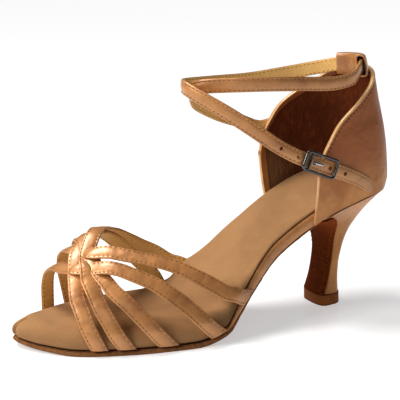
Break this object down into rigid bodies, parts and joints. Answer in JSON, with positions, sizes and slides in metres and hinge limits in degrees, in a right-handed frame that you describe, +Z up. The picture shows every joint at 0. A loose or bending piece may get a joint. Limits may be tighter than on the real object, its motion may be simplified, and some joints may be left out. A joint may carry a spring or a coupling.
{
  "type": "ballroom dance sandal",
  "caption": "Left ballroom dance sandal with woven toe straps, a closed heel cup, a crossed and buckled ankle strap and a flared mid-height heel.",
  "frame": {"origin": "on the floor, below the middle of the sandal's box", "axes": "+Z up; the toe points along -X and the outer side of the foot faces -Y"},
  "size_m": [0.2086, 0.0792, 0.1336],
  "materials": {
    "satin": "smooth tan satin with a soft sheen and stitched edges",
    "insole_nubuck": "matt sand-brown nubuck over foam",
    "outsole_suede": "rough brushed suede",
    "flap_suede": "dark brown suede",
    "tip_rubber": "matt brown",
    "buckle_chrome": "polished, dark reflections"
  },
  "bodies": {
    "root": {"outsole": "outsole_suede", "waist_board": "satin", "insole": "insole_nubuck", "heel": "satin", "heel_flap": "flap_suede", "heel_tip": "tip_rubber", "heel_counter": "satin", "strap_tunnel": "satin", "toe_straps": "satin", "ankle_strap": "satin", "buckle_frame": "buckle_chrome", "buckle_prong": "buckle_chrome", "buckle_tab": "satin"}
  },
  "joints": []
}
